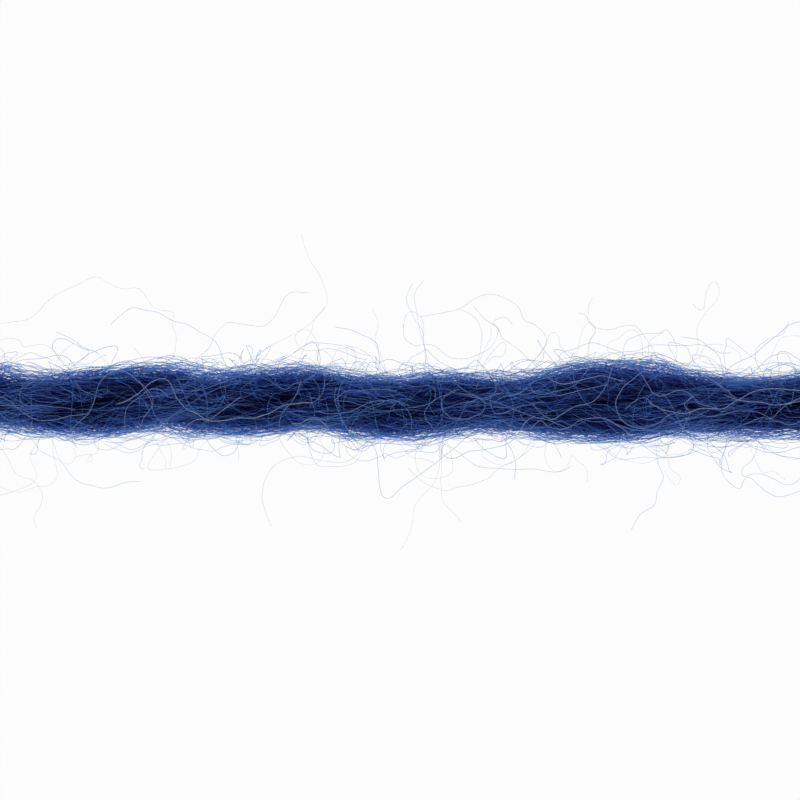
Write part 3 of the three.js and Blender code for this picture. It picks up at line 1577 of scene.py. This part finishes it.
# The hairs that stand out most, as (x, y) courses in millimetres seen from above.
# First those beside the yarn. Each begins or ends in it.
LONG_HAIRS = (
    Flyaway(((-18.2, 2.6), (-16.0, 3.04), (-14.8, 3.28), (-14.0, 4.0), (-12.96, 4.56), (-12.2, 4.92),
             (-11.68, 4.68), (-11.04, 4.42), (-10.4, 4.45), (-9.84, 3.68), (-9.04, 3.48), (-9.1, 3.0),
             (-8.97, 2.6), (-9.05, 1.9), (-9.3, 1.1)), top=1.9, tip=1.3, shade=0.96),
    Flyaway(((-8.8, 1.1), (-7.72, 2.0), (-7.4, 2.6), (-6.88, 3.08), (-6.3, 3.0), (-5.48, 2.92),
             (-5.0, 3.3), (-4.8, 3.7), (-4.4, 4.26), (-3.56, 4.24)), top=2.2, tip=2.4, shade=0.91),
    Flyaway(((-6.4, 0.9), (-5.4, 2.0), (-4.2, 2.7), (-3.5, 3.15), (-2.92, 3.9), (-3.2, 4.9),
             (-3.7, 5.8), (-3.96, 6.72)), top=1.0, tip=0.4),
    Flyaway(((-2.5, 1.2), (-2.92, 1.9), (-3.4, 2.0), (-3.88, 2.04), (-4.16, 2.4), (-4.0, 2.72),
             (-3.7, 2.78), (-3.4, 2.5), (-3.24, 2.0), (-3.36, 1.2)), top=2.4, tip=2.0),
    Flyaway(((-4.2, 1.1), (-3.8, 2.2), (-3.48, 2.8), (-3.4, 3.2), (-3.0, 3.7)), top=2.2, tip=2.0),
    Flyaway(((-2.92, 1.1), (-2.52, 2.0), (-2.24, 2.06), (-1.96, 2.14), (-1.56, 2.0), (-1.08, 1.6),
             (-0.6, 1.0)), top=2.0, tip=1.6),
    Flyaway(((-1.8, 1.0), (-1.76, 1.76), (-1.9, 2.08), (-2.2, 2.22)), top=1.8, tip=2.1),
    Flyaway(((-2.4, 1.0), (-2.1, 1.7), (-2.16, 2.05), (-1.95, 2.12), (-1.8, 1.7), (-1.86, 1.1)),
            top=2.0, tip=1.4),
    Flyaway(((-0.5, 0.9), (-0.68, 1.64), (-1.0, 2.3), (-0.9, 3.1), (-1.06, 3.68)), top=1.5, tip=1.9),
    Flyaway(((1.25, 0.8), (1.1, 1.5), (0.94, 2.24), (0.66, 3.5), (0.56, 4.2), (0.96, 4.8)), top=1.7,
            tip=2.2, shade=0.91),
    Flyaway(((0.9, 0.9), (1.06, 1.7), (0.92, 2.4), (0.92, 3.04), (0.76, 3.36), (0.44, 3.52),
             (0.2, 3.2), (0.18, 2.5), (0.56, 2.18), (0.92, 2.22), (1.4, 2.12), (1.96, 1.7),
             (2.6, 1.64), (3.16, 1.84), (3.64, 2.16), (3.9, 2.8), (3.7, 3.05), (3.88, 3.2),
             (4.2, 3.28), (4.52, 2.96)), top=2.4, tip=2.6, shade=0.93, radius=0.0078),
    Flyaway(((1.0, 0.9), (1.02, 1.7), (0.9, 2.4), (0.84, 2.8), (0.6, 3.2), (0.3, 3.9),
             (0.32, 4.3), (0.48, 4.64)), top=2.6, tip=2.9, shade=0.92),
    Flyaway(((0.78, 3.34), (1.64, 3.48), (2.36, 3.64), (3.0, 4.04), (3.64, 4.2), (4.2, 4.04),
             (4.68, 3.68), (4.96, 3.16), (5.4, 2.96), (5.8, 2.48), (5.6, 1.9), (5.1, 1.3)), top=2.8,
            tip=1.4, shade=0.92, radius=0.0078),
    Flyaway(((2.36, 3.64), (2.76, 3.46), (3.12, 3.1), (3.28, 2.56), (3.2, 2.0), (3.0, 1.1)), top=2.2,
            tip=1.3, shade=0.92),
    Flyaway(((3.0, 0.9), (3.64, 1.68), (4.04, 1.74), (4.24, 2.12), (4.08, 2.28), (3.7, 1.9),
             (3.2, 1.3)), top=2.0, tip=1.6),
    Flyaway(((2.96, 3.76), (3.32, 3.28), (3.64, 3.08), (3.92, 2.8), (4.12, 2.44), (4.6, 2.1),
             (5.5, 1.3)), top=2.3, tip=1.4, shade=0.96, radius=0.0101),
    Flyaway(((3.64, 3.08), (3.64, 2.56), (3.4, 2.1), (3.0, 1.1)), top=2.2, tip=1.4),
    Flyaway(((4.9, 1.0), (5.7, 2.0), (6.0, 2.68), (6.32, 2.52), (6.44, 2.08), (7.2, 1.7)), top=2.1,
            tip=1.8),
    Flyaway(((7.0, 1.2), (7.14, 2.3), (7.34, 2.9), (7.6, 3.08), (7.8, 2.72), (7.52, 2.24),
             (7.48, 1.3)), top=2.2, tip=1.6),
    Flyaway(((7.16, 3.48), (7.44, 3.36), (7.52, 3.12), (7.84, 2.88), (8.4, 2.82), (8.88, 2.92),
             (9.36, 2.94), (9.64, 2.64), (9.88, 2.24), (9.84, 1.3)), top=2.4, tip=1.5, shade=0.91),
    Flyaway(((7.5, 1.2), (7.56, 2.24), (7.8, 2.8), (7.54, 3.2), (7.46, 3.7), (7.64, 4.04)),
            top=2.4, tip=2.3),
    Flyaway(((8.5, 1.3), (8.28, 2.2), (8.72, 2.44), (9.12, 2.76), (9.52, 2.6), (9.68, 2.0),
             (9.6, 1.2)), top=2.3, tip=1.5),
    Flyaway(((8.8, 1.3), (8.96, 2.24), (9.36, 2.52), (9.84, 2.62), (10.32, 2.66), (10.64, 2.8),
             (10.9, 2.4), (11.04, 1.9), (10.9, 1.2)), top=2.2, tip=1.5, shade=0.90),
    Flyaway(((10.6, 2.78), (10.0, 2.36), (10.16, 1.9), (10.4, 1.2)), top=2.0, tip=1.5),
    Flyaway(((11.3, 1.0), (11.9, 1.95), (11.84, 2.9), (12.16, 3.4), (12.64, 4.0), (12.7, 4.5),
             (12.44, 4.72), (12.2, 4.4), (12.12, 3.7), (11.9, 3.6), (11.64, 3.84)), top=2.0,
            tip=2.4, radius=0.0089),
    Flyaway(((11.3, 1.2), (11.92, 1.72), (12.32, 1.72), (13.0, 1.1)), top=1.8, tip=1.5),
    Flyaway(((11.9, 1.2), (12.16, 2.1), (12.64, 2.22), (13.2, 2.08), (13.6, 1.76), (13.5, 1.2)),
            top=1.8, tip=1.4),
    Flyaway(((14.8, 0.8), (14.3, 1.4), (14.24, 2.0), (14.72, 2.44), (15.3, 2.68), (15.52, 3.16)),
            top=1.6, tip=1.8, shade=0.88),
    Flyaway(((14.6, 1.1), (14.9, 1.9), (15.28, 2.48), (16.0, 2.56), (16.6, 2.2), (16.9, 1.1)),
            top=1.6, tip=1.3),
    Flyaway(((-13.2, 1.2), (-12.48, 1.92), (-12.8, 2.2), (-13.2, 2.46), (-13.7, 2.7)), top=1.6,
            tip=2.1, shade=0.90),
    Flyaway(((-17.0, 1.6), (-16.0, 2.36), (-15.3, 2.42), (-15.04, 2.16), (-14.48, 2.2),
             (-13.92, 2.06), (-13.2, 1.2)), top=1.8, tip=1.4),
    Flyaway(((-14.0, 1.1), (-13.44, 1.92), (-12.96, 2.26), (-12.64, 2.0), (-12.2, 1.92),
             (-11.4, 1.2)), top=1.8, tip=1.4),
    Flyaway(((-10.0, 1.2), (-10.4, 1.84), (-10.64, 2.12)), top=1.6, tip=1.9),
    Flyaway(((-17.2, -0.9), (-15.9, -2.1), (-15.4, -2.95), (-14.75, -3.25), (-14.4, -3.76),
             (-14.44, -4.2), (-14.75, -4.65), (-14.65, -5.2)), top=0.9, tip=0.2, radius=0.0078),
    Flyaway(((-16.8, -3.1), (-16.0, -3.48), (-15.36, -3.72), (-14.64, -3.48), (-14.08, -3.4),
             (-13.76, -3.0), (-13.9, -2.2), (-14.0, -1.1)), top=0.8, tip=1.0),
    Flyaway(((-14.1, -1.1), (-13.7, -2.3), (-13.28, -2.56), (-13.04, -2.32), (-13.1, -1.9),
             (-13.5, -1.1)), top=1.0, tip=1.2),
    Flyaway(((-16.4, -3.9), (-15.36, -3.64), (-14.72, -3.28), (-14.64, -2.88), (-14.86, -2.4),
             (-14.8, -2.05), (-14.2, -1.2)), top=0.8, tip=1.0),
    Flyaway(((-12.0, -1.1), (-12.14, -2.05), (-12.46, -2.26), (-12.53, -2.5), (-12.4, -2.46),
             (-12.42, -2.2), (-13.0, -2.28)), top=1.0, tip=1.2),
    Flyaway(((-9.0, -1.0), (-9.76, -2.08), (-10.08, -2.56), (-10.08, -2.82), (-9.36, -2.76),
             (-8.8, -2.64), (-8.24, -2.4), (-8.0, -1.92), (-7.2, -1.2)), top=0.8, tip=1.3),
    Flyaway(((-10.2, -1.1), (-9.6, -2.0), (-9.4, -2.4), (-9.44, -2.78)), top=0.9, tip=0.9),
    Flyaway(((-9.6, -1.1), (-9.18, -2.1), (-9.24, -2.7)), top=0.9, tip=0.9),
    Flyaway(((-6.7, -1.1), (-6.5, -2.1), (-6.5, -2.45)), top=0.9, tip=0.8),
    Flyaway(((-2.0, -1.2), (-1.64, -1.92), (-1.76, -2.26), (-2.28, -2.48), (-3.2, -2.42),
             (-4.04, -2.28), (-4.92, -2.56), (-5.4, -3.12), (-5.58, -3.9), (-5.4, -4.6),
             (-5.16, -5.12)), top=0.6, tip=0.15, shade=0.93),
    Flyaway(((-5.1, -1.1), (-4.68, -1.84), (-4.28, -2.32), (-3.96, -2.54), (-3.4, -2.56),
             (-3.08, -2.24), (-3.12, -1.8), (-3.6, -1.1)), top=0.8, tip=1.2),
    Flyaway(((-3.9, -1.2), (-3.4, -2.5), (-3.0, -2.66), (-2.36, -2.64), (-1.7, -2.4),
             (-1.2, -1.3)), top=0.8, tip=1.2, shade=0.92),
    Flyaway(((-1.9, -1.1), (-2.16, -1.92), (-1.96, -2.24), (-1.48, -2.46), (-0.84, -2.3),
             (-0.6, -2.14), (-0.2, -2.32), (0.28, -2.16), (0.68, -1.92), (1.3, -1.2)), top=0.8,
            tip=1.2, shade=0.90),
    Flyaway(((-1.8, -1.1), (-1.1, -1.85), (-0.88, -2.56), (-0.8, -3.36), (-0.7, -3.86),
             (-0.42, -3.94), (0.04, -3.52), (0.76, -3.04), (1.48, -2.48), (2.28, -1.84),
             (3.2, -1.1)), top=0.7, tip=1.2, shade=0.82, radius=0.0089),
    Flyaway(((-0.6, -1.1), (0.36, -2.2), (1.0, -2.38), (1.4, -2.56)), top=0.9, tip=0.8),
    Flyaway(((1.3, -1.1), (0.7, -2.0), (0.68, -2.72), (1.0, -3.08), (1.48, -3.14), (1.96, -3.04),
             (2.12, -2.64), (1.8, -1.2)), top=0.7, tip=1.1),
    Flyaway(((2.0, -0.9), (1.68, -2.0), (1.4, -3.3), (0.86, -3.9), (0.54, -4.4), (0.46, -5.2),
             (0.0, -6.12)), top=0.5, tip=0.1),
    Flyaway(((1.5, -0.9), (1.66, -2.4), (1.64, -3.4), (1.76, -4.1), (2.1, -4.5), (2.48, -4.92)),
            top=0.7, tip=0.1),
    Flyaway(((0.3, -2.7), (0.92, -3.28), (1.4, -3.52), (1.88, -3.62), (2.4, -3.5), (3.0, -3.36),
             (3.56, -3.12), (4.04, -2.72), (4.68, -2.4), (5.3, -1.9), (6.0, -1.1)), top=0.8,
            tip=1.0, shade=0.94),
    Flyaway(((3.4, -1.1), (3.28, -2.08), (3.48, -2.4), (3.96, -2.6), (4.44, -2.52), (5.0, -2.1),
             (5.4, -1.2)), top=0.9, tip=1.1),
    Flyaway(((3.9, -1.1), (4.4, -1.84), (4.56, -2.24), (4.64, -2.72), (4.56, -3.24)), top=1.0,
            tip=0.7, shade=0.86, radius=0.0083),
    Flyaway(((5.9, -1.0), (6.2, -1.75), (6.48, -2.36)), top=0.9, tip=0.7, shade=0.84, radius=0.0086),
    Flyaway(((5.9, -1.2), (5.84, -2.3), (6.2, -2.84), (6.64, -2.72), (6.92, -2.24), (7.2, -2.5),
             (7.46, -2.7), (7.56, -3.04), (7.48, -3.32)), top=0.7, tip=0.5),
    Flyaway(((7.2, -1.0), (8.2, -1.84), (8.8, -2.3), (9.68, -2.54), (10.32, -2.36), (10.96, -2.2),
             (11.52, -2.08), (12.3, -1.2)), top=0.9, tip=1.3),
    Flyaway(((10.2, -0.9), (10.34, -2.3), (10.6, -3.12), (10.34, -3.7), (10.26, -4.2),
             (9.68, -4.64), (9.32, -5.3)), top=0.5, tip=0.1, shade=0.89, radius=0.0078),
    Flyaway(((10.7, -1.1), (10.84, -2.6), (11.26, -3.1), (11.1, -3.42), (10.8, -3.1),
             (10.66, -2.8)), top=0.6, tip=0.5),
    Flyaway(((13.2, -1.0), (12.96, -2.4), (13.06, -3.1), (13.6, -3.58), (13.84, -3.24),
             (14.08, -3.12), (14.4, -3.36), (14.8, -3.74), (15.3, -3.9), (16.0, -3.68),
             (16.8, -3.2)), top=0.6, tip=0.8, shade=0.88, radius=0.0083),
    Flyaway(((14.6, -1.0), (14.16, -2.3), (13.76, -2.72), (13.84, -3.1), (14.2, -3.0),
             (14.6, -3.02), (15.12, -3.24), (15.52, -3.38), (16.0, -3.2), (16.8, -2.2)), top=0.8,
            tip=1.0, shade=0.89, radius=0.0078),
    Flyaway(((14.2, -1.1), (15.0, -2.05), (15.4, -2.3), (16.0, -2.34), (16.8, -1.4)), top=0.9,
            tip=1.1),
    Flyaway(((13.7, -1.1), (14.2, -2.3), (14.56, -2.9), (15.04, -2.84), (15.5, -3.2)), top=0.8,
            tip=0.7),
)

# Then those that lie over the yarn.
OVER_HAIRS = (
    LaidHair(((-13.3, -1.4), (-12.8, -0.92), (-12.36, -0.48), (-12.12, 0.1), (-11.96, 0.64),
              (-11.6, 1.0), (-11.2, 1.12), (-10.8, 1.04), (-10.04, 0.44), (-9.8, -0.1),
              (-10.08, -0.62), (-10.5, -1.4)), shade=0.84),
    LaidHair(((-10.4, 0.78), (-9.95, 0.1), (-9.64, -0.68), (-9.0, -1.3))),
    LaidHair(((-16.9, 0.5), (-16.0, 0.2), (-15.5, 0.0), (-14.9, -0.55), (-14.4, -0.82),
              (-13.76, -0.82), (-13.2, -0.64), (-12.4, -0.5)), shade=0.85),
    LaidHair(((-16.5, -0.1), (-15.2, -0.24), (-14.4, -0.2), (-13.6, -0.28), (-12.9, -0.42))),
    LaidHair(((-11.3, -0.2), (-10.8, 0.0), (-10.32, 0.36), (-9.9, 0.66), (-9.44, 0.84),
              (-9.12, 0.68), (-8.88, 0.12), (-8.56, -0.32), (-8.0, -0.6), (-7.4, -0.82),
              (-6.6, -0.77), (-5.8, -0.68), (-5.1, -0.48), (-4.44, -0.2), (-3.9, -0.1),
              (-3.4, -0.07)), shade=0.94, radius=0.018),
    LaidHair(((-9.4, 0.42), (-8.4, 0.36), (-7.76, 0.44), (-7.2, 0.64), (-6.6, 0.84),
              (-6.0, 1.2))),
    LaidHair(((-8.9, -1.4), (-8.16, -0.78), (-7.5, -0.7), (-6.9, -0.34), (-6.28, 0.14)), shade=0.90),
    LaidHair(((-13.0, 0.8), (-12.64, 0.4), (-12.24, 0.24), (-11.8, 0.1))),
    LaidHair(((-10.9, -1.4), (-10.88, -0.6), (-10.7, -0.16), (-10.2, 0.26), (-9.7, 0.42),
              (-9.2, 0.16)), shade=0.82),
    LaidHair(((-2.95, 1.2), (-3.0, 0.52), (-3.2, 0.1), (-3.6, -0.2))),
    LaidHair(((-5.6, 1.0), (-5.0, 0.6), (-4.52, 0.44), (-4.2, 0.68), (-3.8, 0.78), (-3.2, 1.1))),
    LaidHair(((-4.3, -0.94), (-3.9, -0.9), (-3.56, -0.76), (-3.16, -0.84), (-2.8, -1.2)), shade=0.93),
    LaidHair(((-2.5, 0.5), (-2.56, 0.05), (-2.5, -0.3), (-2.3, -0.8), (-2.0, -1.4)), shade=0.82),
    LaidHair(((-4.8, -1.1), (-4.7, -0.5), (-4.36, -0.1), (-4.1, 0.3), (-3.9, 0.8)), shade=0.81),
    LaidHair(((-2.6, 0.0), (-2.04, 0.36), (-1.4, 0.4), (-0.7, 0.44), (-0.1, 0.36)), shade=0.82),
    LaidHair(((-3.4, -0.4), (-2.7, -0.55), (-2.04, -0.48), (-1.48, -0.2), (-1.0, -0.06),
              (-0.2, -0.04), (0.4, -0.2)), shade=0.81),
    LaidHair(((2.4, 0.4), (1.9, 0.26), (1.62, -0.1), (1.8, -0.52), (2.2, -0.74), (2.68, -0.76),
              (3.16, -0.56), (3.36, -0.24), (3.2, 0.06), (2.84, 0.2), (2.3, 0.26)), shade=0.85),
    LaidHair(((1.5, 0.1), (1.16, -0.2), (1.0, -0.52), (1.16, -0.92), (1.6, -1.4))),
    LaidHair(((-0.6, 0.8), (0.12, 0.6), (0.6, 0.56), (1.08, 0.6), (1.38, 0.4), (1.4, 0.0))),
    LaidHair(((0.3, -0.3), (1.0, -0.22), (1.48, 0.06), (2.2, 0.34)), shade=0.84),
    LaidHair(((3.5, 1.2), (3.8, 0.5), (3.56, -0.04), (3.76, -0.5), (4.2, -0.48), (5.0, -0.2),
              (5.7, -0.1))),
    LaidHair(((2.5, -0.2), (3.08, 0.06), (3.64, 0.12), (4.04, 0.36), (3.7, 0.8), (3.2, 0.7),
              (3.0, 0.4))),
    LaidHair(((4.7, -1.4), (5.0, -0.9), (5.4, -0.66)), shade=0.92),
    LaidHair(((4.8, 1.2), (5.2, 1.12), (5.68, 1.04), (6.08, 0.76), (6.5, 0.6), (7.1, 0.76),
              (7.84, 0.98), (8.32, 0.92), (8.9, 0.74)), shade=0.92, radius=0.016),
    LaidHair(((4.6, 0.5), (5.4, 0.36), (6.24, 0.2), (6.8, 0.28), (7.44, 0.48), (8.1, 0.58))),
    LaidHair(((4.9, -1.4), (5.5, -0.86), (5.9, -1.04), (6.4, -1.17), (6.8, -1.06), (7.12, -0.76),
              (7.68, -0.72), (8.3, -0.82), (9.4, -1.5)), shade=0.87),
    LaidHair(((5.2, -0.1), (5.9, -0.72), (6.4, -0.6), (6.9, -0.28), (7.5, -0.08), (7.9, 0.2),
              (8.2, 0.7), (8.5, 1.4)), shade=0.82),
    LaidHair(((9.4, 1.3), (9.84, 0.56), (10.0, 0.28), (10.32, 0.16), (10.72, 0.28), (11.12, 0.4),
              (11.52, 0.2), (11.9, -0.16), (12.6, -0.3)), shade=0.84),
    LaidHair(((9.7, 1.2), (9.2, 0.8), (8.8, 0.44), (8.54, -0.04), (8.6, -0.5), (9.0, -0.96),
              (9.6, -1.1), (10.1, -0.96), (10.6, -0.66), (11.2, -0.4)), shade=0.84),
    LaidHair(((8.9, -0.4), (9.3, 0.0), (9.68, 0.08), (10.1, -0.2), (10.8, -0.72), (11.2, -1.1))),
    LaidHair(((9.8, -0.08), (10.3, -0.32), (10.9, -0.46), (11.4, -0.52), (12.0, -0.36),
              (12.8, -0.32), (13.3, -0.06), (14.0, 0.28), (14.6, 0.44), (15.2, 0.48),
              (16.0, 0.36), (16.8, 0.3)), shade=0.94, radius=0.018),
    LaidHair(((12.9, 0.24), (13.5, 0.0), (14.0, -0.08), (14.64, -0.16), (15.28, -0.14),
              (15.8, 0.04), (16.6, 0.3)), shade=0.94, radius=0.017),
    LaidHair(((11.7, -0.4), (12.24, -0.64), (12.8, -0.56), (13.6, -0.44), (14.3, -0.52),
              (15.0, -0.82), (15.6, -0.96), (16.3, -0.6)), shade=0.82),
    LaidHair(((13.0, -1.2), (13.84, -0.88), (14.4, -0.72), (14.8, -0.78), (15.1, -0.4),
              (15.5, -0.12), (16.4, 0.1)), shade=0.84),
    LaidHair(((12.0, 1.1), (12.56, 0.64), (13.04, 0.32), (13.5, 0.0)), shade=0.87),
    LaidHair(((11.2, -1.1), (11.5, -0.56), (11.3, -0.2), (11.6, 0.2)), shade=0.90),
)


def main() -> None:
    """Builds the studio and the yarn, and reports each piece."""
    logging.basicConfig(level=logging.INFO, format="%(message)s", stream=sys.stdout)
    Studio().build()
    yarn = PliedYarn()
    heart_maker = WoolHeart(yarn)
    heart = heart_maker.build()
    dyed = {dye: dye.material() for dye in (FINE, KEMP)}
    hairs = [
        SpunHairs(yarn, single, f"spun_hairs_{letter}").build(dyed[FINE])
        for single, letter in enumerate("abc")
    ]
    hairs += [LooseHairs(yarn, habit).build(dyed[habit.dye]) for habit in HABITS]
    hairs.append(Flyaways(yarn, LONG_HAIRS).build(dyed[FINE]))
    hairs.append(LaidHairs(yarn, OVER_HAIRS).build(dyed[KEMP]))
    hairs.append(CutEnds(yarn).build(dyed[FINE]))
    heart_maker.declare()
    for piece in [heart, *hairs]:
        log.info("%s: %d faces", piece.name, len(piece.data.polygons))


if __name__ == "__main__":
    main()
